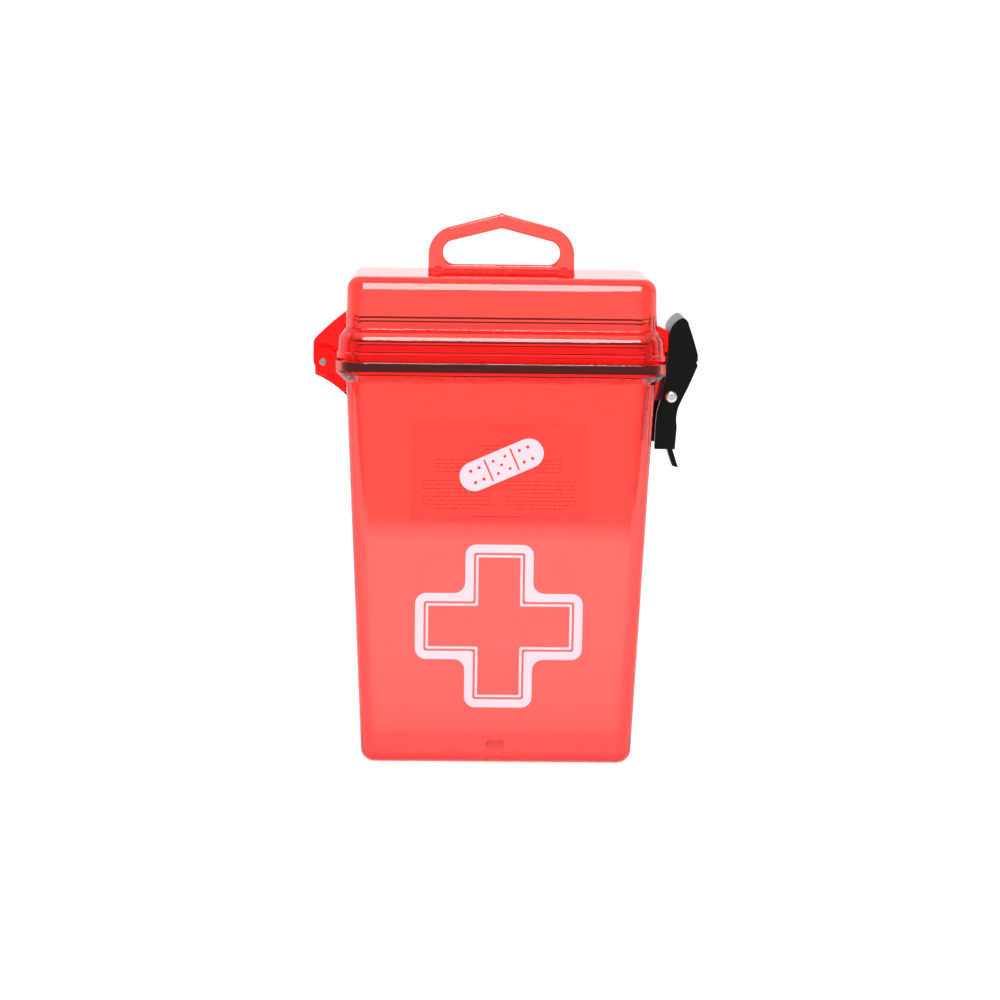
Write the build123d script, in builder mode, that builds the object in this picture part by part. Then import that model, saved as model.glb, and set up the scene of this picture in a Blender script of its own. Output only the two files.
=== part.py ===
from build123d import *
import os

# First aid kit: a tall clear dry box. The lid hinges on a steel pin at the left, a rocker latch
# on a rivet holds it at the right, and a loop on the lid hangs the box from a hook or a cord.
# Millimetres. The origin is the centre of the underside, +Z is up, +X points to the latch and
# -Y is the front. Left and right are as seen from the front.

os.makedirs("parts", exist_ok=True)

# How far joined pieces run into each other, how far cuts run past a surface, and how near two
# levels are taken as the same.
OVERLAP = 0.2
OVERRUN = 1.0
SAME = 0.01

# Case: walls drafted outwards from the base to the rim.
WALL = 1.8
FLOOR = 2.2
BASE_HALF_X = 45.0
BASE_HALF_Y = 19.0
BASE_CORNER = 5.0
BASE_EDGE = 4.6
GATE_RADIUS = 3.2
GATE_RISE = 1.9
GATE_ROUND = 1.7
GATE_RING = 1.0
GATE_RING_DEPTH = 0.8

# Rim: the outline that the collar, gasket, lip and lid are offset from.
RIM_HALF_X = 50.4
RIM_HALF_Y = 23.5
RIM_CORNER = 5.5
COLLAR_OUT = 3.7
COLLAR_ROOT_Z = 128.0
COLLAR_LOW_Z = 131.2
COLLAR_TOP_Z = 135.2
COLLAR_EDGE = 0.4
LIP_OUT = -0.45
LIP_TIP_OUT = -0.65
LIP_TOP_Z = 141.0
CHANNEL_OUT = 1.9
CHANNEL_Z = 131.9
GASKET_TOP_Z = 134.8
GASKET_EDGE = 0.3
SEAL_GAP = 0.05

# Lid: tongue into the channel, bead, skirt, shoulder and dome.
TONGUE_IN = -0.1
TONGUE_OUT = 1.6
TONGUE_Z = 134.9
BEAD_OUT = 3.4
BEAD_LOW_Z = 135.5
BEAD_TOP_Z = 138.2
BEAD_EDGE = 0.55
SKIRT_OUT = 2.9
SHOULDER_OUT = 2.4
SHOULDER_Z = 142.9
SHOULDER_ROUND = 2.2
LEDGE_Z = 144.0
LEDGE_RISE = 0.9
DOME_FOOT_Z = 145.6
DOME_FOOT_OUT = 0.1
DOME_FOOT_ROUND = 0.5
DOME_TOP_OUT = -0.3
LID_TOP_Z = 162.3
DOME_EDGE = 4.2
CEILING_EDGE = 2.6

# Hanger loop on the lid's top.
LOOP_HALF_X = 24.1
LOOP_EAVE_Z = 175.6
LOOP_APEX_Z = 181.9
LOOP_SHOULDER = 9.5
LOOP_HALF_Y = 1.7
LOOP_EDGE = 0.7
GAP_HALF_X = 19.2
GAP_LOW_Z = 165.2
GAP_EAVE_Z = 172.2
GAP_APEX_Z = 177.1
GAP_CORNER = 3.7
APEX_ROUND = 2.5
NUB_RADIUS = 0.6
NUB_DROP = 0.3
FOOT_X = 20.9
FOOT_HALF_X = 2.2
FOOT_RISE = 2.9
FOOT_HALF_Y = 3.9
FOOT_TIP_SHARE = 0.2
PAD_HALF_Y = 2.9
PAD_RISE = 1.1
SINK = 0.5

# Hinge: the lid's arm turns on a pin between two ears of the case.
PIN_X = -58.25
PIN_Z = 133.2
PIN_RADIUS = 1.2
PIN_HALF_Y = 9.8
PIN_CHAMFER = 0.25
PIN_FIT = 0.02
PIN_RUN = 0.05
EAR_OUT = 2.65
EAR_TOP = 4.7
EAR_HALF_Y = 9.5
ARM_HALF_Y = 4.0
ARM_RUN = 0.3
KNUCKLE = 3.5
EAR_CORNER = 1.2
WEB_END_X = -57.6

# Latch: a channel section lever on a rivet through two ribs of the case.
RIVET_X = 56.33
RIVET_Z = 123.0
RIVET_RADIUS = 0.95
RIVET_HEAD = 1.95
RIVET_HEAD_RISE = 1.0
RIVET_HEAD_ROUND = 0.85
LATCH_HALF_Y = 10.0
LATCH_WALL = 1.6
LATCH_BOSS = 2.9
LATCH_BOSS_RISE = 0.4
THUMB_LIP_HALF_Y = 5.5
CROWN_START = (55.45, 144.2)
CROWN_MIDDLE = (57.2, 147.5)
CROWN_END = (59.6, 149.0)
RIB_OUTER_Y = 8.0
RIB_INNER_Y = 4.6
RIB_TIP = 1.6
STRIKE_HALF_Y = 8.0
STRIKE_X = 55.1
HEAD_GAP = 0.1
GRIP_RIBS = 8
GRIP_RIB_RADIUS = 0.22
MARK_PLACE = (60.9, 139.7)
MARK_RADIUS = 0.9
MARK_DEPTH = 0.12

# Back label.
LABEL_X = 0.7
LABEL_WIDTH = 60.6
LABEL_HEIGHT = 34.8
LABEL_CORNER = 1.5
LABEL_Z = 92.0
LABEL_THICK = 0.12
LABEL_GAP = 0.05


def wall_level(height, inset=0.0):
    """The case wall's rounded rectangle at a height: (height, half width, half depth, corner)."""
    share = height / COLLAR_ROOT_Z
    half_x = BASE_HALF_X + (RIM_HALF_X - BASE_HALF_X) * share
    half_y = BASE_HALF_Y + (RIM_HALF_Y - BASE_HALF_Y) * share
    corner = BASE_CORNER + (RIM_CORNER - BASE_CORNER) * share
    return height, half_x - inset, half_y - inset, corner - inset


def rim_level(height, out):
    """The rim's outline at a height, offset outwards by out."""
    return height, RIM_HALF_X + out, RIM_HALF_Y + out, RIM_CORNER + out


def rounded_block(*levels):
    """A block with straight sides between rounded rectangles, from the lowest to the highest."""
    with BuildPart() as block:
        for height, half_x, half_y, corner in levels:
            with BuildSketch(Plane.XY.offset(height)):
                RectangleRounded(2 * half_x, 2 * half_y, corner)
        loft(ruled=True)
    return block.part


def level_edge(edge, height):
    """True for an edge that lies level at a height."""
    box = edge.bounding_box()
    return abs(box.min.Z - height) < SAME and abs(box.max.Z - height) < SAME


def pierce(x, z, radius, half_y):
    """A cylinder along Y, centred on the XZ plane."""
    with BuildPart() as bar:
        with BuildSketch(Plane.XZ):
            with Locations((x, z)):
                Circle(radius)
        extrude(amount=half_y, both=True)
    return bar.part


# Ears of the hinge on the case: one bracket with an arched underside, slotted for the arm.
with BuildPart() as hinge_bracket:
    with BuildSketch(Plane.XZ):
        with BuildLine():
            arch = ThreePointArc((PIN_X - EAR_OUT, 129.2), (-55.2, 126.1), (-50.0, 121.7))
            Polyline(arch @ 1, (-49.4, 121.7), (-49.6, 128.0), (-52.8, 131.6), (-52.8, 135.0),
                     (PIN_X + 4.9, 135.0))
            swing = PolarLine((PIN_X + 4.9, 135.0), 0.2, 90)
            top = ThreePointArc(swing @ 1, (PIN_X + 3.55, PIN_Z + 3.35), (PIN_X + 1.5, PIN_Z + EAR_TOP))
            Polyline(top @ 1, (PIN_X - EAR_OUT, PIN_Z + EAR_TOP), arch @ 0)
        make_face()
    extrude(amount=EAR_HALF_Y, both=True)
    corner = hinge_bracket.edges().filter_by(Axis.Y).group_by(Axis.X)[0].sort_by(Axis.Z)[-1]
    fillet(corner, EAR_CORNER)
    with BuildSketch(Plane.XZ):
        with BuildLine():
            floor = ThreePointArc((WEB_END_X, 128.7), (-54.0, 127.0), (-50.3, 123.4))
            Polyline(floor @ 1, (-49.0, 123.4), (-49.0, 140.0), (-66.0, 140.0), (-66.0, 124.0),
                     (WEB_END_X, 124.0), floor @ 0)
        make_face()
    extrude(amount=ARM_HALF_Y + ARM_RUN, both=True, mode=Mode.SUBTRACT)

# Ribs on the right that carry the latch's rivet.
with BuildPart() as latch_ribs:
    with BuildSketch(Plane.XZ):
        with BuildLine():
            under = Line((49.6, 121.6), (RIVET_X, RIVET_Z - RIB_TIP))
            tip = ThreePointArc(under @ 1, (RIVET_X + RIB_TIP * 0.7071, RIVET_Z - RIB_TIP * 0.7071),
                                (RIVET_X + RIB_TIP, RIVET_Z))
            Polyline(tip @ 1, (56.6, 131.0), (52.8, 133.4), (52.8, 131.6), (49.6, 128.0), under @ 0)
        make_face()
    extrude(amount=RIB_OUTER_Y, both=True)
    with BuildSketch(Plane.XZ):
        with Locations((56.0, 126.6)):
            Rectangle(12.0, 16.0)
    extrude(amount=RIB_INNER_Y, both=True, mode=Mode.SUBTRACT)

# Case: drafted walls, a collar with the gasket's channel, and a lip that stands inside the lid.
case_skin = rounded_block(wall_level(0.0), wall_level(COLLAR_ROOT_Z),
                          rim_level(COLLAR_LOW_Z, COLLAR_OUT), rim_level(COLLAR_TOP_Z, COLLAR_OUT))
case_lip = rounded_block(rim_level(CHANNEL_Z - OVERRUN, LIP_OUT), rim_level(CHANNEL_Z, LIP_OUT),
                         rim_level(LIP_TOP_Z, LIP_TIP_OUT))
channel_outside = rounded_block(rim_level(CHANNEL_Z, CHANNEL_OUT),
                                rim_level(COLLAR_TOP_Z + OVERRUN, CHANNEL_OUT))

with BuildPart() as cavity:
    add(rounded_block(wall_level(FLOOR, WALL), wall_level(COLLAR_ROOT_Z, WALL),
                      rim_level(LIP_TOP_Z + OVERRUN, -WALL)))
    fillet(cavity.faces().sort_by(Axis.Z)[0].edges(), BASE_EDGE - WALL)

with BuildPart() as case_body:
    add(case_skin)
    fillet(case_body.faces().sort_by(Axis.Z)[0].edges(), BASE_EDGE)
    fillet(case_body.faces().sort_by(Axis.Z)[-1].outer_wire().edges(), COLLAR_EDGE)
    add(hinge_bracket.part)
    add(latch_ribs.part)
    add(channel_outside, mode=Mode.SUBTRACT)
    add(case_lip)
    fillet(case_body.faces().sort_by(Axis.Z)[-1].outer_wire().edges(), COLLAR_EDGE)
    add(cavity.part, mode=Mode.SUBTRACT)
    with BuildSketch(Plane.XY.offset(FLOOR - OVERLAP)):
        Circle(GATE_RADIUS)
    extrude(amount=GATE_RISE + OVERLAP)
    gate_rim = case_body.edges().filter_by(GeomType.CIRCLE).filter_by(
        lambda edge: abs(edge.center().Z - FLOOR - GATE_RISE) < SAME)
    fillet(gate_rim, GATE_ROUND)
    with BuildSketch(Plane.XY):
        Circle(GATE_RADIUS)
        Circle(GATE_RADIUS - GATE_RING, mode=Mode.SUBTRACT)
    extrude(amount=GATE_RING_DEPTH, mode=Mode.SUBTRACT)
    add(pierce(PIN_X, PIN_Z, PIN_RADIUS + PIN_FIT, EAR_HALF_Y + OVERRUN), mode=Mode.SUBTRACT)
    add(pierce(RIVET_X, RIVET_Z, RIVET_RADIUS + PIN_FIT, RIB_OUTER_Y + OVERRUN), mode=Mode.SUBTRACT)

# Gasket: a flat rubber ring that lies in the collar's channel.
with BuildPart() as gasket:
    seal_out = CHANNEL_OUT - SEAL_GAP
    seal_in = LIP_OUT + SEAL_GAP
    add(rounded_block(rim_level(CHANNEL_Z, seal_out), rim_level(GASKET_TOP_Z, seal_out)))
    fillet(gasket.faces().sort_by(Axis.Z)[-1].edges(), GASKET_EDGE)
    add(rounded_block(rim_level(CHANNEL_Z - OVERRUN, seal_in), rim_level(GASKET_TOP_Z + OVERRUN, seal_in)),
        mode=Mode.SUBTRACT)

# Hanger loop: a flat plate with a house-shaped gap, on a chamfered pad with a small foot at each end.
with BuildPart() as loop_plate:
    with BuildSketch(Plane.XZ) as loop_outline:
        with BuildLine():
            Polyline((-LOOP_HALF_X, LID_TOP_Z - SINK), (-LOOP_HALF_X, LOOP_EAVE_Z), (0.0, LOOP_APEX_Z),
                     (LOOP_HALF_X, LOOP_EAVE_Z), (LOOP_HALF_X, LID_TOP_Z - SINK), close=True)
        make_face()
        fillet(loop_outline.vertices().sort_by(Axis.Y)[-1], APEX_ROUND)
        eaves = loop_outline.vertices().filter_by(lambda corner: abs(corner.Y - LOOP_EAVE_Z) < SAME)
        fillet(eaves, LOOP_SHOULDER)
    extrude(amount=LOOP_HALF_Y, both=True)
    with BuildSketch(Plane.XZ) as loop_gap:
        with BuildLine():
            Polyline((-GAP_HALF_X, GAP_LOW_Z), (-GAP_HALF_X, GAP_EAVE_Z), (0.0, GAP_APEX_Z),
                     (GAP_HALF_X, GAP_EAVE_Z), (GAP_HALF_X, GAP_LOW_Z), close=True)
        make_face()
        fillet(loop_gap.vertices().sort_by(Axis.Y)[:-1], GAP_CORNER)
        fillet(loop_gap.vertices().sort_by(Axis.Y)[-1], APEX_ROUND)
    extrude(amount=LOOP_HALF_Y + OVERRUN, both=True, mode=Mode.SUBTRACT)
    flats = loop_plate.faces().filter_by(Axis.Y)
    fillet(flats.edges().filter_by(lambda edge: edge.center().Z > LID_TOP_Z), LOOP_EDGE)
    with BuildSketch(Plane.YZ):
        with BuildLine():
            Polyline((-PAD_HALF_Y, LID_TOP_Z - SINK), (-PAD_HALF_Y, LID_TOP_Z),
                     (-LOOP_HALF_Y, LID_TOP_Z + PAD_RISE), (LOOP_HALF_Y, LID_TOP_Z + PAD_RISE),
                     (PAD_HALF_Y, LID_TOP_Z), (PAD_HALF_Y, LID_TOP_Z - SINK), close=True)
        make_face()
    extrude(amount=LOOP_HALF_X, both=True)
    for side in (-1, 1):
        for rise, share in ((-SINK, 1.0), (0.0, 1.0), (FOOT_RISE, FOOT_TIP_SHARE)):
            with BuildSketch(Plane.XY.offset(LID_TOP_Z + rise)):
                with Locations((side * FOOT_X, 0.0)):
                    Rectangle(2 * FOOT_HALF_X * share, 2 * FOOT_HALF_Y * share)
        loft(ruled=True)
    add(pierce(0.0, LOOP_APEX_Z - NUB_DROP, NUB_RADIUS, LOOP_HALF_Y - LOOP_EDGE))

# Arm of the hinge on the lid: a knuckle round the pin and a bowed blade up to the dome.
with BuildPart() as hinge_arm:
    with BuildSketch(Plane.XZ):
        with BuildLine():
            knuckle = ThreePointArc((PIN_X - KNUCKLE, PIN_Z), (PIN_X, PIN_Z - KNUCKLE),
                                    (PIN_X + KNUCKLE, PIN_Z))
            back = Line(knuckle @ 0, (PIN_X - KNUCKLE, 138.6))
            shin = ThreePointArc(back @ 1, (PIN_X - 3.25, 139.9), (PIN_X - 2.55, 140.9))
            bow = ThreePointArc(shin @ 1, (-56.6, 144.9), (-50.2, 150.1))
            Polyline(bow @ 1, (-49.8, 136.0), (PIN_X + 4.4, 136.0), (PIN_X + KNUCKLE, 135.0),
                     knuckle @ 1)
        make_face()
    extrude(amount=ARM_HALF_Y, both=True)

# Strike on the lid that the latch's nib holds down.
with BuildPart() as strike:
    with BuildSketch(Plane.XZ):
        with BuildLine():
            Polyline((50.0, 137.2), (54.2, 137.2), (STRIKE_X, 138.1), (STRIKE_X, 144.0), (54.7, 144.4),
                     (52.6, 145.8), (50.0, 146.6), close=True)
        make_face()
    extrude(amount=STRIKE_HALF_Y, both=True)

lid_skin = rounded_block(
    rim_level(BEAD_LOW_Z, BEAD_OUT - BEAD_EDGE), rim_level(BEAD_LOW_Z + BEAD_EDGE, BEAD_OUT),
    rim_level(BEAD_TOP_Z - BEAD_EDGE, BEAD_OUT), rim_level(BEAD_TOP_Z, SKIRT_OUT),
    rim_level(SHOULDER_Z, SHOULDER_OUT), rim_level(DOME_FOOT_Z, DOME_FOOT_OUT),
    rim_level(LID_TOP_Z, DOME_TOP_OUT))
lid_tongue = rounded_block(rim_level(TONGUE_Z, TONGUE_OUT), rim_level(BEAD_LOW_Z + SINK, TONGUE_OUT))

with BuildPart() as lid_hollow:
    add(rounded_block(
        rim_level(TONGUE_Z - OVERRUN, TONGUE_IN), rim_level(LEDGE_Z, TONGUE_IN),
        rim_level(LEDGE_Z + LEDGE_RISE, DOME_FOOT_OUT - WALL),
        rim_level(LID_TOP_Z - WALL, DOME_TOP_OUT - WALL)))
    fillet(lid_hollow.faces().sort_by(Axis.Z)[-1].edges(), CEILING_EDGE)

with BuildPart() as lid:
    add(lid_skin)
    fillet(lid.faces().sort_by(Axis.Z)[-1].edges(), DOME_EDGE)
    fillet(lid.edges().filter_by(lambda edge: level_edge(edge, SHOULDER_Z)), SHOULDER_ROUND)
    fillet(lid.edges().filter_by(lambda edge: level_edge(edge, DOME_FOOT_Z)), DOME_FOOT_ROUND)
    add(hinge_arm.part)
    add(strike.part)
    add(loop_plate.part)
    add(lid_tongue)
    add(lid_hollow.part, mode=Mode.SUBTRACT)
    add(pierce(PIN_X, PIN_Z, PIN_RADIUS + PIN_RUN, EAR_HALF_Y), mode=Mode.SUBTRACT)

# Hinge pin: a plain steel pin with chamfered ends.
with BuildPart() as hinge_pin:
    add(pierce(PIN_X, PIN_Z, PIN_RADIUS, PIN_HALF_Y))
    chamfer(hinge_pin.edges().filter_by(GeomType.CIRCLE), PIN_CHAMFER)

# Latch lever: an open channel that rocks on the rivet, with a ribbed crown whose nib holds the
# strike, a moulding mark on each side, and a thumb lip below.
with BuildPart() as latch_lever:
    with BuildSketch(Plane.XZ):
        with BuildLine():
            heel = Polyline((51.2, 106.1), (51.4, 113.4), (51.8, 118.1), (53.0, 122.3), (54.5, 130.0),
                            (55.0, 138.6), CROWN_START)
            crown = ThreePointArc(heel @ 1, CROWN_MIDDLE, CROWN_END)
            brow = ThreePointArc(crown @ 1, (61.0, 148.3), (61.7, 146.8))
            thumb = ThreePointArc(brow @ 1, (63.6, 141.3), (64.9, 136.9))
            Polyline(thumb @ 1, (64.9, 134.9), (64.5, 134.5), (64.9, 133.3), (63.6, 130.1),
                     (61.9, 126.1), (60.2, 122.6), (58.9, 119.6))
            waist = ThreePointArc((58.9, 119.6), (58.35, 117.0), (58.5, 113.0))
            Polyline(waist @ 1, (58.0, 105.5), (51.3, 105.5), heel @ 0)
        make_face()
    extrude(amount=LATCH_HALF_Y, both=True)
    add(pierce(RIVET_X, RIVET_Z, LATCH_BOSS, LATCH_HALF_Y + LATCH_BOSS_RISE))
    with BuildSketch(Plane.XZ):
        with BuildLine():
            vault = ThreePointArc((56.5, 143.6), (57.9, 146.1), (59.8, 147.4))
            Polyline(vault @ 1, (60.4, 146.6), (63.5, 137.6), (63.5, 134.0), (60.7, 126.64),
                     (58.9, 123.08), (57.6, 119.9))
            hollow = ThreePointArc((57.6, 119.9), (57.0, 117.0), (57.1, 113.0))
            Polyline(hollow @ 1, (56.8, 104.0), (48.0, 104.0), (48.0, 142.9), (55.3, 142.9), vault @ 0)
        make_face()
    extrude(amount=LATCH_HALF_Y - LATCH_WALL, both=True, mode=Mode.SUBTRACT)
    with BuildSketch(Plane.XZ):
        with BuildLine():
            Polyline((55.9, 107.0), (57.62, 107.0), (57.7, 104.6), (59.6, 98.7), (57.6, 99.3),
                     (55.9, 104.3), close=True)
        make_face()
    extrude(amount=THUMB_LIP_HALF_Y, both=True)
    crown_path = ThreePointArc(CROWN_START, CROWN_MIDDLE, CROWN_END)
    for rib in range(GRIP_RIBS):
        spot = crown_path @ ((rib + 0.5) / GRIP_RIBS)
        add(pierce(spot.X, spot.Y, GRIP_RIB_RADIUS, LATCH_HALF_Y))
    for side in (-1, 1):
        with BuildSketch(Plane.XZ.offset(side * (LATCH_HALF_Y - MARK_DEPTH))):
            with Locations(MARK_PLACE):
                Circle(MARK_RADIUS)
        extrude(amount=side * (MARK_DEPTH + OVERRUN), mode=Mode.SUBTRACT)
    add(pierce(RIVET_X, RIVET_Z, RIVET_RADIUS + PIN_RUN, LATCH_HALF_Y + OVERRUN), mode=Mode.SUBTRACT)

# Latch rivet: a shank through the ribs and a domed head at each end.
head_foot = LATCH_HALF_Y + LATCH_BOSS_RISE + HEAD_GAP
with BuildPart() as latch_rivet:
    add(pierce(RIVET_X, RIVET_Z, RIVET_RADIUS, head_foot + OVERLAP))
    for side in (-1, 1):
        head_plane = Plane(origin=(RIVET_X, side * head_foot, RIVET_Z), x_dir=(1, 0, 0),
                           z_dir=(0, side, 0))
        with BuildSketch(head_plane):
            Circle(RIVET_HEAD)
        extrude(amount=RIVET_HEAD_RISE)
    outer_rims = latch_rivet.edges().filter_by(GeomType.CIRCLE).filter_by(
        lambda edge: abs(edge.center().Y) > head_foot + SAME)
    fillet(outer_rims, RIVET_HEAD_ROUND)

# Back label: a film on the outside of the rear wall.
rear_lean = (RIM_HALF_Y - BASE_HALF_Y) / COLLAR_ROOT_Z
label_plane = Plane(origin=(LABEL_X, BASE_HALF_Y + rear_lean * LABEL_Z + LABEL_GAP, LABEL_Z),
                    x_dir=(-1, 0, 0), z_dir=(0, 1, -rear_lean))
with BuildPart() as back_label:
    with BuildSketch(label_plane):
        RectangleRounded(LABEL_WIDTH, LABEL_HEIGHT, LABEL_CORNER)
    extrude(amount=LABEL_THICK)

for name, piece in (
    ("case_body", case_body), ("gasket", gasket), ("lid", lid), ("hinge_pin", hinge_pin),
    ("latch_lever", latch_lever), ("latch_rivet", latch_rivet), ("back_label", back_label),
):
    piece.part.label = name
    export_step(piece.part, f"parts/{name}.step")
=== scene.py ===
import math
import random

import bpy
from mathutils import Matrix, Vector


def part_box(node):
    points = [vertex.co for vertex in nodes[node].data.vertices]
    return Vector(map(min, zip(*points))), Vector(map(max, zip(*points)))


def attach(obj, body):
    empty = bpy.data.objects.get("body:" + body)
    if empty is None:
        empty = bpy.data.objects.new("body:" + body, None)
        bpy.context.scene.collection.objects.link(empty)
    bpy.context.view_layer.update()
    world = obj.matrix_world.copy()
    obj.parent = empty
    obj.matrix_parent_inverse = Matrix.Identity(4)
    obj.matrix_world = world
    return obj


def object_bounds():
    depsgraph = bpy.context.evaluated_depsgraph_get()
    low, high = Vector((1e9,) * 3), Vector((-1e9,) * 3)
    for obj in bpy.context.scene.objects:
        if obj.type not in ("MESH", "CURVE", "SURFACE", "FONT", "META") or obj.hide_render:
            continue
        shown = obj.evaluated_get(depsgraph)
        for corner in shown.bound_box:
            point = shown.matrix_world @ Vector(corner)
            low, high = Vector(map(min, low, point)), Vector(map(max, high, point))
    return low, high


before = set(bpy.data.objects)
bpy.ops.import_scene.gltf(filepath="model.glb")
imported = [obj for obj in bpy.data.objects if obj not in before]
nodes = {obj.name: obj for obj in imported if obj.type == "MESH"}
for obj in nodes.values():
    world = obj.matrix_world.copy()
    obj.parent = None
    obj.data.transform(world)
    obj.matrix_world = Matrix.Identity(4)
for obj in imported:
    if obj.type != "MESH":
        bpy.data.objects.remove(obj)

# First aid kit: a clear red dry box with printed front, back label, black latch and steel pins.

MM = 0.001
cad_low, cad_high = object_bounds()
scene = bpy.context.scene


# ---------- camera ----------

DISTANCE = 0.900
HEIGHT = 0.2333
YAW = math.radians(1.3)
ROLL = math.radians(0.78)
TARGET = Vector((0.63 * MM, 0.0, 86.3 * MM))
SENSOR = 36.0
FOCAL_LENGTH = 98.0
CLIP_NEAR = 0.01
CLIP_FAR = 50.0


def make_camera():
    """A long lens in front of the box, a little to its left and above it, looking slightly down."""
    place = Vector((TARGET.x - DISTANCE * math.sin(YAW), -DISTANCE * math.cos(YAW), HEIGHT))
    forward = (TARGET - place).normalized()
    right = forward.cross(Vector((0, 0, 1))).normalized()
    up = right.cross(forward)
    tilted_right = right * math.cos(ROLL) + up * math.sin(ROLL)
    tilted_up = up * math.cos(ROLL) - right * math.sin(ROLL)
    data = bpy.data.cameras.new("camera")
    data.sensor_width = SENSOR
    data.lens = FOCAL_LENGTH
    data.clip_start = CLIP_NEAR
    data.clip_end = CLIP_FAR
    camera = bpy.data.objects.new("camera", data)
    scene.collection.objects.link(camera)
    turn = Matrix((tilted_right, tilted_up, -forward)).transposed()
    camera.matrix_world = Matrix.Translation(place) @ turn.to_4x4()
    scene.camera = camera


make_camera()


# ---------- materials ----------

class Nodes:
    """A small helper round a node tree."""

    def __init__(self, tree):
        self.tree = tree

    def add(self, kind, **values):
        node = self.tree.nodes.new(kind)
        for key, value in values.items():
            setattr(node, key, value)
        return node

    def link(self, source, target):
        self.tree.links.new(source, target)

    def spread(self, value, low, high, start=0.0, end=1.0):
        node = self.add("ShaderNodeMapRange")
        node.inputs["From Min"].default_value = start
        node.inputs["From Max"].default_value = end
        node.inputs["To Min"].default_value = low
        node.inputs["To Max"].default_value = high
        self.link(value, node.inputs["Value"])
        return node.outputs["Result"]

    def product(self, first, second):
        node = self.add("ShaderNodeMath", operation="MULTIPLY")
        self.link(first, node.inputs[0])
        self.link(second, node.inputs[1])
        return node.outputs["Value"]

    def y_of(self, vector):
        node = self.add("ShaderNodeSeparateXYZ")
        self.link(vector, node.inputs["Vector"])
        return node.outputs["Y"]


class Shader(Nodes):
    """A material with one Principled surface."""

    def __init__(self, name):
        self.material = bpy.data.materials.new(name)
        self.material.use_nodes = True
        super().__init__(self.material.node_tree)
        self.tree.nodes.clear()
        self.out = self.add("ShaderNodeOutputMaterial")
        self.surface = self.add("ShaderNodeBsdfPrincipled")
        self.link(self.surface.outputs["BSDF"], self.out.inputs["Surface"])

    def set(self, **values):
        for key, value in values.items():
            self.surface.inputs[key.replace("_", " ")].default_value = value

    def drive(self, socket, source):
        self.link(source, self.surface.inputs[socket])

    def places(self):
        return self.add("ShaderNodeTexCoord").outputs["Object"]

    def noise(self, scale, detail=3.0):
        node = self.add("ShaderNodeTexNoise")
        node.inputs["Scale"].default_value = scale
        node.inputs["Detail"].default_value = detail
        self.link(self.places(), node.inputs["Vector"])
        return node.outputs["Fac"]

    def blend(self, factor, first, second):
        node = self.add("ShaderNodeMix", data_type="RGBA")
        node.inputs["A"].default_value = first
        node.inputs["B"].default_value = second
        self.link(factor, node.inputs["Factor"])
        return node.outputs["Result"]

    def bump(self, height, strength, distance):
        node = self.add("ShaderNodeBump")
        node.inputs["Strength"].default_value = strength
        node.inputs["Distance"].default_value = distance
        self.link(height, node.inputs["Height"])
        self.drive("Normal", node.outputs["Normal"])


RED_PASSES = (1.0, 0.13, 0.05, 1.0)
CASE_DENSITY = 880.0
LID_DENSITY = 800.0
PORE_SHADE = 0.7


def clear_red(name, density):
    """Polished red polycarbonate: it takes its colour from how much of it the light crosses."""
    s = Shader(name)
    s.set(Base_Color=(1.0, 1.0, 1.0, 1.0), Transmission_Weight=1.0, IOR=1.585)
    scuffs = s.noise(160.0, 4.0)
    s.drive("Roughness", s.spread(scuffs, 0.0, 0.03, 0.4, 0.8))
    s.bump(s.noise(14.0, 1.0), 0.05, 0.4 * MM)
    absorb = s.add("ShaderNodeVolumeAbsorption")
    absorb.inputs["Color"].default_value = RED_PASSES
    absorb.inputs["Density"].default_value = density
    s.link(absorb.outputs["Volume"], s.out.inputs["Volume"])
    return s.material


def soft_rubber():
    """Black seal rubber with a faint dusty bloom."""
    s = Shader("gasket_rubber")
    grain = s.noise(900.0, 4.0)
    s.set(Specular_IOR_Level=0.2)
    s.drive("Base Color", s.blend(grain, (0.004, 0.002, 0.0025, 1), (0.014, 0.007, 0.008, 1)))
    s.drive("Roughness", s.spread(grain, 0.5, 0.7))
    s.bump(grain, 0.2, 0.1 * MM)
    return s.material


def black_plastic():
    """Satin moulded plastic with a fine spark-eroded grain and slightly polished patches."""
    s = Shader("latch_black_plastic")
    grain = s.noise(2600.0, 2.0)
    wear = s.noise(90.0, 3.0)
    s.drive("Base Color", s.blend(wear, (0.0014, 0.0014, 0.0016, 1), (0.003, 0.003, 0.0033, 1)))
    s.set(Specular_IOR_Level=0.25)
    s.drive("Roughness", s.spread(wear, 0.2, 0.3))
    s.bump(grain, 0.25, 0.05 * MM)
    return s.material


def steel(name, colour, smooth, rough, scale):
    """Drawn or plated steel with fine marks in its polish."""
    s = Shader(name)
    marks = s.noise(scale, 3.0)
    s.set(Metallic=1.0, Base_Color=colour)
    s.drive("Roughness", s.spread(marks, smooth, rough))
    s.bump(marks, 0.1, 0.05 * MM)
    return s.material


def label_film():
    """A thin clear film with slightly cloudy adhesive."""
    s = Shader("label_film")
    cloud = s.noise(60.0, 3.0)
    s.set(IOR=1.45, Alpha=0.06)
    s.drive("Base Color", s.blend(cloud, (0.95, 0.5, 0.45, 1), (1.0, 0.65, 0.6, 1)))
    s.drive("Roughness", s.spread(cloud, 0.15, 0.3))
    return s.material


def white_ink():
    """Screen-printed ink: even and a little porous, faintly pink from a painted tint that stands for
    red light coming through the case from behind.
    """
    s = Shader("ink_white")
    pores = s.noise(1500.0, 3.0)
    cloud = s.noise(45.0, 2.0)
    # painted light: the pink in both colours stands for red light from behind the ink, and the cloud
    # mixes the two tones at random
    s.drive("Base Color", s.blend(cloud, (0.68, 0.53, 0.59, 1), (0.75, 0.60, 0.66, 1)))
    s.drive("Roughness", s.spread(pores, 0.4, 0.6))
    s.bump(pores, 0.15, 0.02 * MM)
    return s.material


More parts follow.
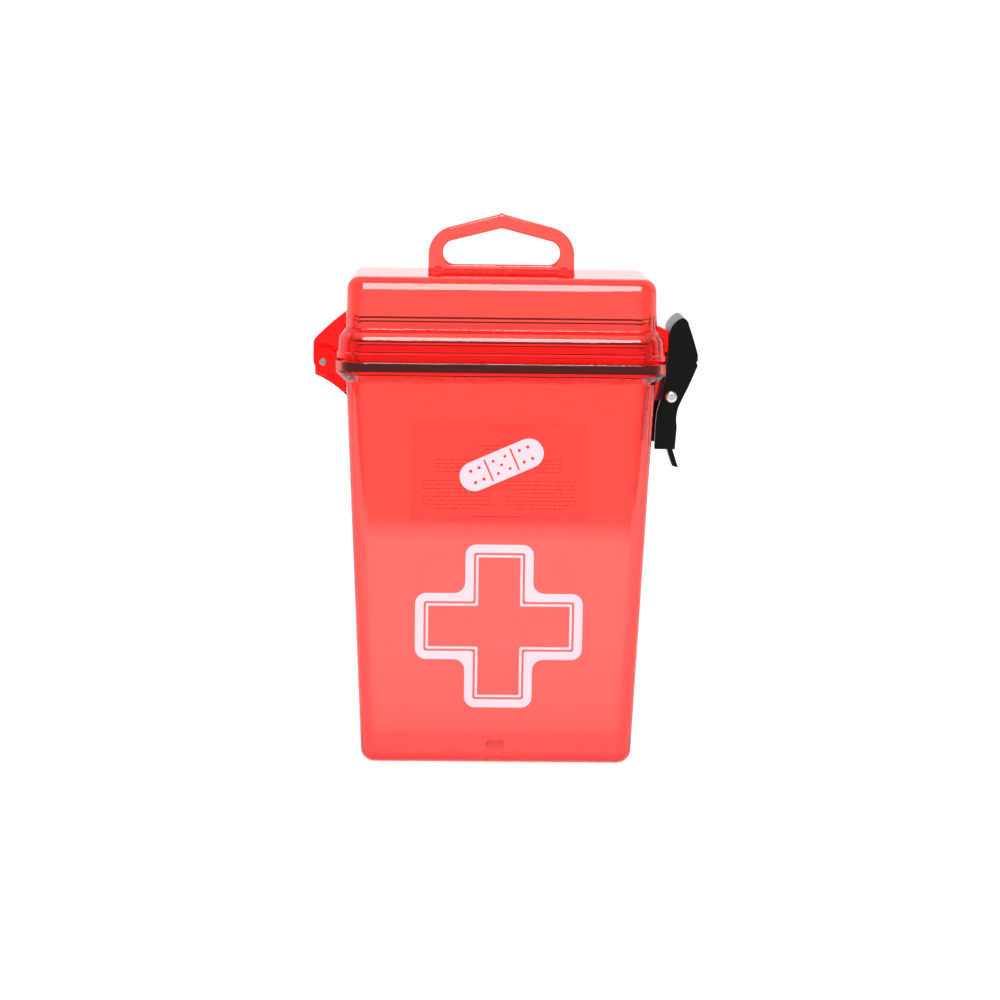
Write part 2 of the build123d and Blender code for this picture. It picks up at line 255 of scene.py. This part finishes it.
def label_ink(name, colour, alpha):
    """Thin ink on the label's film, darker in its pores."""
    s = Shader(name)
    pores = s.noise(1800.0, 2.0)
    s.set(Alpha=alpha)
    shaded = tuple(PORE_SHADE * part for part in colour[:3]) + (1,)
    s.drive("Base Color", s.blend(pores, colour, shaded))
    s.drive("Roughness", s.spread(pores, 0.45, 0.65))
    return s.material


def give(node, material):
    data = nodes[node].data
    data.materials.clear()
    data.materials.append(material)


give("case_body", clear_red("clear_red_case", CASE_DENSITY))
give("lid", clear_red("clear_red_lid", LID_DENSITY))
give("gasket", soft_rubber())
give("latch_lever", black_plastic())
give("hinge_pin", steel("pin_steel", (0.56, 0.56, 0.57, 1), 0.2, 0.4, 500.0))
give("latch_rivet", steel("rivet_plated", (0.80, 0.79, 0.80, 1), 0.28, 0.4, 400.0))
give("back_label", label_film())


# ---------- prints ----------

INK_THICK = 0.03 * MM
INK_GAP = 0.02 * MM
PROBE_X = 11.0 * MM
PROBE_START = 100.0 * MM


def wall_y(z, from_front, node):
    """Where a level line from the front or the back first meets a node, at the height z."""
    way = 1.0 if from_front else -1.0
    start = Vector((PROBE_X, -way * PROBE_START, z))
    hit, place, _, _ = nodes[node].ray_cast(start, Vector((0.0, way, 0.0)))
    if not hit:
        raise RuntimeError("no wall at that height")
    return place.y


def rounded_outline(corners, radius, steps=6):
    """The points of a closed outline with every corner rounded, whichever way it turns."""
    points = []
    count = len(corners)
    for index, corner in enumerate(corners):
        here = Vector(corner)
        before = (Vector(corners[index - 1]) - here).normalized()
        after = (Vector(corners[(index + 1) % count]) - here).normalized()
        opening = before.angle(after)
        back = radius / math.tan(opening / 2.0)
        centre = here + (before + after).normalized() * (radius / math.sin(opening / 2.0))
        start = here + before * back - centre
        end = here + after * back - centre
        turn = start.angle_signed(end)
        for step in range(steps + 1):
            angle = -turn * step / steps
            spun = Matrix.Rotation(angle, 2) @ start
            points.append(centre + spun)
    return points


def block(left, low, right, high):
    return [Vector((left, low)), Vector((right, low)), Vector((right, high)), Vector((left, high))]


def circle(centre, radius, steps=16):
    turns = [2.0 * math.pi * step / steps for step in range(steps)]
    return [Vector((centre[0] + radius * math.cos(turn), centre[1] + radius * math.sin(turn)))
            for turn in turns]


def flat_shape(outlines):
    """A mesh of filled outlines, where an outline inside another one is a hole."""
    curve = bpy.data.curves.new("shape", "CURVE")
    curve.dimensions = "2D"
    curve.fill_mode = "BOTH"
    curve.extrude = INK_THICK / 2.0
    for outline in outlines:
        spline = curve.splines.new("POLY")
        spline.points.add(len(outline) - 1)
        for point, (u, v) in zip(spline.points, outline):
            point.co = (u, v, 0.0, 1.0)
        spline.use_cyclic_u = True
    holder = bpy.data.objects.new("shape", curve)
    mesh = bpy.data.meshes.new_from_object(holder)
    bpy.data.objects.remove(holder)
    return mesh


def print_on(name, outlines, on_front, material, node):
    """Lays flat outlines, drawn in x and z, on the front or the back of a node of the case."""
    mesh = flat_shape(outlines)
    heights = [point.y for outline in outlines for point in outline]
    low, high = min(heights), max(heights)
    y_low, y_high = wall_y(low, on_front, node), wall_y(high, on_front, node)
    outward = -1.0 if on_front else 1.0
    for vertex in mesh.vertices:
        u, v, lift = vertex.co
        share = (v - low) / (high - low)
        y = y_low + (y_high - y_low) * share + outward * (INK_GAP + INK_THICK / 2.0 + lift)
        vertex.co = (u, y, v)
    mesh.materials.clear()
    mesh.materials.append(material)
    piece = bpy.data.objects.new(name, mesh)
    scene.collection.objects.link(piece)
    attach(piece, "case")


CROSS_CENTRE = (0.3 * MM, 47.4 * MM)
CROSS_HALF = 27.6 * MM
CROSS_ARM = 11.2 * MM
CROSS_BAND = 2.8 * MM
CROSS_GAP = 0.7 * MM
CROSS_LINE = 0.8 * MM
CROSS_CORNER = 3.6 * MM
CROSS_INNER_CORNER = 0.5 * MM


def cross_outline(inset):
    """An upright cross with rounded corners, inset from the emblem's outer edge."""
    half, arm = CROSS_HALF - inset, CROSS_ARM - inset
    quarter = [(half, -arm), (half, arm), (arm, arm)]
    corners = []
    for turn in range(4):
        spin = Matrix.Rotation(turn * math.pi / 2.0, 2)
        corners += [spin @ Vector(corner) for corner in quarter]
    radius = max(CROSS_CORNER - inset, CROSS_INNER_CORNER)
    return [point + Vector(CROSS_CENTRE) for point in rounded_outline(corners, radius)]


def front_cross(ink):
    """A broad band round an upright cross, with a fine line inside it."""
    insets = (0.0, CROSS_BAND, CROSS_BAND + CROSS_GAP, CROSS_BAND + CROSS_GAP + CROSS_LINE)
    outlines = [cross_outline(inset) for inset in insets]
    print_on("front_cross_print", outlines, True, ink, "case_body")


PLASTER_CENTRE = (0.5 * MM, 101.6 * MM)
PLASTER_LENGTH = 29.0 * MM
PLASTER_WIDTH = 9.8 * MM
PLASTER_TILT = math.radians(24.0)
PAD_HALF = 4.6 * MM
PAD_LINE = 0.55 * MM
PAD_LINE_SHARE = 0.8
END_ROUNDNESS = 0.98
LINE_ROUNDNESS = 0.45
STRIP_HOLE = 0.55 * MM
STRIP_HOLES_ALONG = (1.55, 2.2)
STRIP_HOLES_ACROSS = 0.42
PAD_HOLE = 0.5 * MM
PAD_HOLES = ((0.0, 0.0), (-1.0, -1.0), (1.0, 1.0), (-1.0, 1.0), (1.0, -1.0))
PAD_HOLES_SPREAD = 0.45


def front_plaster(ink):
    """A plain adhesive plaster: a rounded strip with a square pad and air holes."""
    def strip(half_u, half_v, radius):
        return rounded_outline(block(-half_u, -half_v, half_u, half_v), radius)

    half_width = PLASTER_WIDTH / 2.0
    shapes = [strip(PLASTER_LENGTH / 2.0, half_width, half_width * END_ROUNDNESS)]
    for side in (-1.0, 1.0):
        line = strip(PAD_LINE / 2.0, half_width * PAD_LINE_SHARE, PAD_LINE * LINE_ROUNDNESS)
        shapes.append([point + Vector((side * PAD_HALF, 0.0)) for point in line])
        for across in (-1.0, 1.0):
            v = across * half_width * STRIP_HOLES_ACROSS
            for along in STRIP_HOLES_ALONG:
                shapes.append(circle((side * PAD_HALF * along, v), STRIP_HOLE))
    for along, across in PAD_HOLES:
        u = along * PAD_HALF * PAD_HOLES_SPREAD
        v = across * half_width * PAD_HOLES_SPREAD
        shapes.append(circle((u, v), PAD_HOLE))
    spin = Matrix.Rotation(PLASTER_TILT, 2)
    turned = [[spin @ point + Vector(PLASTER_CENTRE) for point in shape] for shape in shapes]
    print_on("front_plaster_print", turned, True, ink, "case_body")


LABEL_LOW, LABEL_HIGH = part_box("back_label")
LABEL_WIDTH = LABEL_HIGH[0] - LABEL_LOW[0]
LABEL_MIDDLE = (LABEL_LOW[0] + LABEL_HIGH[0]) / 2.0
LABEL_MARGIN = 0.9 * MM
LABEL_CORNER = 1.5 * MM
FRAME_THICK = 0.3 * MM
LINE_HEIGHT = 0.34 * MM
WORD_LOW = 0.8 * MM
WORD_HIGH = 3.2 * MM
WORD_GAP = 0.5 * MM
DICE_SEED = 7

# Rows of dashes: millimetres below the label's top, and centre and length as shares of its width.
TITLE_ROWS = ((8.0, 0.22), (9.3, 0.17))
COLUMN_TOP = 13.0
COLUMN_STEP = 1.3
COLUMN_ROWS = 4
COLUMN_CENTRE = 0.26
COLUMN_LENGTH = 0.2
TEXT_TOP = 20.2
TEXT_STEP = 1.35
TEXT_ROWS = 8
TEXT_CENTRE = 0.235
TEXT_LENGTH = 0.40
TEXT_LAST_LENGTH = 0.26
ROWS_A_PARAGRAPH = 4
FOOT_ROW = (32.4, 0.3)


def dashes(drop, centre, length, dice):
    """A row of plain dashes of uneven length, in place of a line of small print."""
    z = LABEL_HIGH[2] - drop * MM
    middle = LABEL_MIDDLE + centre * LABEL_WIDTH
    half = length * LABEL_WIDTH / 2.0
    row = []
    x = middle - half
    while x < middle + half:
        end = min(x + dice.uniform(WORD_LOW, WORD_HIGH), middle + half)
        row.append(block(x, z, end, z + LINE_HEIGHT))
        x = end + WORD_GAP
    return row


def label_prints():
    """Rows of dashes as a title, short columns and two paragraphs, and a fine frame line."""
    dice = random.Random(DICE_SEED)
    rows = []
    for drop, length in TITLE_ROWS:
        rows += dashes(drop, 0.0, length, dice)
    for line in range(COLUMN_ROWS):
        for side in (-1.0, 1.0):
            rows += dashes(COLUMN_TOP + COLUMN_STEP * line, side * COLUMN_CENTRE, COLUMN_LENGTH, dice)
    for line in range(TEXT_ROWS):
        last = line % ROWS_A_PARAGRAPH == ROWS_A_PARAGRAPH - 1
        length = TEXT_LAST_LENGTH if last else TEXT_LENGTH
        for side in (-1.0, 1.0):
            rows += dashes(TEXT_TOP + TEXT_STEP * line, side * TEXT_CENTRE, length, dice)
    rows += dashes(FOOT_ROW[0], 0.0, FOOT_ROW[1], dice)
    dark = label_ink("label_ink_dark", (0.30, 0.02, 0.02, 1), 0.3)
    print_on("label_small_print", rows, False, dark, "back_label")
    frame_line = []
    for inset in (LABEL_MARGIN, LABEL_MARGIN + FRAME_THICK):
        corners = block(LABEL_LOW[0] + inset, LABEL_LOW[2] + inset,
                        LABEL_HIGH[0] - inset, LABEL_HIGH[2] - inset)
        frame_line.append(rounded_outline(corners, LABEL_CORNER))
    pale = label_ink("label_ink_pale", (1.0, 0.75, 0.75, 1), 0.12)
    print_on("label_frame_line", frame_line, False, pale, "back_label")


front_ink = white_ink()
front_cross(front_ink)
front_plaster(front_ink)
label_prints()


# ---------- studio ----------

WHITE_SWEEP = 1.15
DIM_ROOM = 0.30
SEEN_THROUGH = 0.7
ROOM_EDGE_BACK = 0.25
ROOM_EDGE_FRONT = -0.35
STAGE_HALF = 4.0
FLOOR_DROP = 0.4 * MM
FLOOR_PALE = (0.35, 0.35, 0.35, 1)
FLOOR_GLOW = 0.78
TABLE_DROP = 0.2 * MM
TABLE_HALF_WIDTH = 0.6
TABLE_GLOW = 1.6
TABLE_END = -0.367
TABLE_FADE = 0.044
# where the painted shade of the box on the table begins, and how much of the glow it leaves
TABLE_DIM_START = -0.17
TABLE_DIM_SHARE = 0.6
PANEL_GLOW = 10.0
PANEL_LOW = math.radians(9.5)
PANEL_HIGH = math.radians(60.0)
PANEL_FAR = 1.0
PANEL_HALF_WIDTH = 0.15
PANEL_AIM_DROP = 20.0 * MM
PANEL_ROUNDING = 0.45
PANEL_STEPS = 16
OVERHEAD_PLACE = (0.0, -0.25, 1.1)
OVERHEAD_AIM = (0.0, 0.0, 0.1)
OVERHEAD_SIZE = (1.4, 1.0)
OVERHEAD_WATTS = 7.0
LIGHT_BOUNCES = 96


def stage_mesh(name, points, faces, material):
    mesh = bpy.data.meshes.new(name)
    mesh.from_pydata(points, [], faces)
    mesh.materials.append(material)
    sheet = bpy.data.objects.new(name, mesh)
    scene.collection.objects.link(sheet)
    return sheet


def level_sheet(name, x_half, y_near, y_far, z, material):
    points = [(-x_half, y_near, z), (x_half, y_near, z), (x_half, y_far, z), (-x_half, y_far, z)]
    return stage_mesh(name, points, [(0, 1, 2, 3)], material)


def only_in_reflections(sheet):
    for ray in ("camera", "diffuse", "transmission", "volume_scatter", "shadow"):
        setattr(sheet, "visible_" + ray, False)


def world_light():
    """A white sweep all round, which is a dim room on the camera's side to a bounced ray."""
    world = bpy.data.worlds.new("studio")
    scene.world = world
    world.use_nodes = True
    sky = Nodes(world.node_tree)
    backdrop = sky.tree.nodes["Background"]
    backdrop.inputs["Color"].default_value = (1, 1, 1, 1)
    path = sky.add("ShaderNodeLightPath")
    bounced = sky.add("ShaderNodeMix")
    bounced.inputs["B"].default_value = SEEN_THROUGH
    sky.link(path.outputs["Is Transmission Ray"], bounced.inputs["Factor"])
    sky.link(path.outputs["Is Glossy Ray"], bounced.inputs["A"])
    ahead = sky.y_of(sky.add("ShaderNodeTexCoord").outputs["Generated"])
    towards_camera = sky.spread(ahead, 0.0, 1.0, ROOM_EDGE_BACK, ROOM_EDGE_FRONT)
    dimmed = sky.product(bounced.outputs["Result"], towards_camera)
    sky.link(sky.spread(dimmed, WHITE_SWEEP, DIM_ROOM), backdrop.inputs["Strength"])


def glowing(name, strength):
    s = Shader(name)
    s.set(Base_Color=(0, 0, 0, 1), Emission_Color=(1, 1, 1, 1), Emission_Strength=strength)
    return s


def table_material():
    """The lit table top in front, fading out at its far edge, with painted shade of the box that dims
    it a little near and under the box.
    """
    s = glowing("table_glow", TABLE_GLOW)
    y = s.y_of(s.places())
    fade = s.spread(y, 0.0, TABLE_GLOW, TABLE_END, TABLE_END + TABLE_FADE)
    # painted shade of the box on the table: the glow drops towards the box
    painted_box_shade = s.spread(y, 1.0, TABLE_DIM_SHARE, TABLE_DIM_START, 0.0)
    s.drive("Emission Strength", s.product(fade, painted_box_shade))
    return s.material


def front_panel():
    """A tall narrow soft light, curved over the front from just above the camera."""
    aim = Vector((0.0, 0.0, cad_high[2] - PANEL_AIM_DROP))
    points = []
    for step in range(PANEL_STEPS + 1):
        rise = PANEL_LOW + (PANEL_HIGH - PANEL_LOW) * step / PANEL_STEPS
        y = aim.y - PANEL_FAR * math.cos(rise)
        z = aim.z + PANEL_FAR * math.sin(rise)
        from_middle = 2.0 * step / PANEL_STEPS - 1.0
        half = PANEL_HALF_WIDTH * (1.0 - PANEL_ROUNDING * from_middle ** 4)
        points += [(-half, y, z), (half, y, z)]
    faces = [(2 * step, 2 * step + 1, 2 * step + 3, 2 * step + 2) for step in range(PANEL_STEPS)]
    glow = glowing("panel_glow", PANEL_GLOW).material
    only_in_reflections(stage_mesh("front_panel", points, faces, glow))


def overhead_light():
    data = bpy.data.lights.new("overhead", "AREA")
    data.shape = "RECTANGLE"
    data.size, data.size_y = OVERHEAD_SIZE
    data.energy = OVERHEAD_WATTS
    light = bpy.data.objects.new("overhead", data)
    scene.collection.objects.link(light)
    light.location = OVERHEAD_PLACE
    light.visible_glossy = False
    way = Vector(OVERHEAD_AIM) - light.location
    light.rotation_euler = way.to_track_quat("-Z", "Y").to_euler()


def floor_and_table():
    """A pale floor, and the two halves of the table top that only reflections show."""
    pale = Shader("pale_floor")
    pale.set(Base_Color=FLOOR_PALE, Roughness=0.7)
    pale.set(Emission_Color=(1, 1, 1, 1), Emission_Strength=FLOOR_GLOW)
    floor_z = cad_low[2] - FLOOR_DROP
    floor = level_sheet("floor", STAGE_HALF, -STAGE_HALF, STAGE_HALF, floor_z, pale.material)
    floor.visible_glossy = False
    table_z = cad_low[2] - TABLE_DROP
    only_in_reflections(
        level_sheet("table_front", TABLE_HALF_WIDTH, TABLE_END, 0.0, table_z, table_material()))
    back_glow = glowing("sweep_glow", WHITE_SWEEP).material
    only_in_reflections(level_sheet("table_back", STAGE_HALF, 0.0, STAGE_HALF, table_z, back_glow))


world_light()
floor_and_table()
front_panel()
overhead_light()
scene.view_settings.view_transform = "Standard"
scene.cycles.max_bounces = LIGHT_BOUNCES
scene.cycles.transmission_bounces = LIGHT_BOUNCES
scene.cycles.glossy_bounces = LIGHT_BOUNCES
scene.cycles.transparent_max_bounces = LIGHT_BOUNCES
